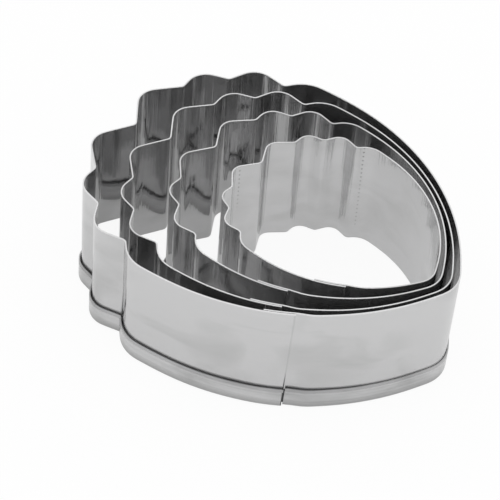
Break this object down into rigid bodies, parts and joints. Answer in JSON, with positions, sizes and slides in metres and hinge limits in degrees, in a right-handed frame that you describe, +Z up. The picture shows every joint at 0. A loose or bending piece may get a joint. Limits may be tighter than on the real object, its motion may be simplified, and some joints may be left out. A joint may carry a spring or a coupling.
{
  "type": "nested pastry cutter set",
  "caption": "Nest of scalloped petal pastry cutters: folded-hem steel strips bent to a pointed petal, standing one inside the other, tips together.",
  "frame": {"origin": "on the table, at the middle of the extra large cutter's bounding box", "axes": "+X from the scalloped back toward the tip, +Y across the petal, +Z up toward the cutting edges"},
  "size_m": [0.0774, 0.0634, 0.025],
  "materials": {
    "steel_strip": "bright rolled strip, fairly smooth, with fine lines along its length and faint handling marks"
  },
  "bodies": {
    "extra_large": {"cutter_extra_large": "steel_strip"},
    "large": {"cutter_large": "steel_strip"},
    "medium": {"cutter_medium": "steel_strip"},
    "small": {"cutter_small": "steel_strip"}
  },
  "joints": [
    {"name": "large_lifts_out", "type": "slide", "parent": "extra_large", "child": "large", "axis": [0, 0, 1], "range_m": [0, 0.03]},
    {"name": "medium_lifts_out", "type": "slide", "parent": "extra_large", "child": "medium", "axis": [0, 0, 1], "range_m": [0, 0.03]},
    {"name": "small_lifts_out", "type": "slide", "parent": "extra_large", "child": "small", "axis": [0, 0, 1], "range_m": [0, 0.03]}
  ]
}
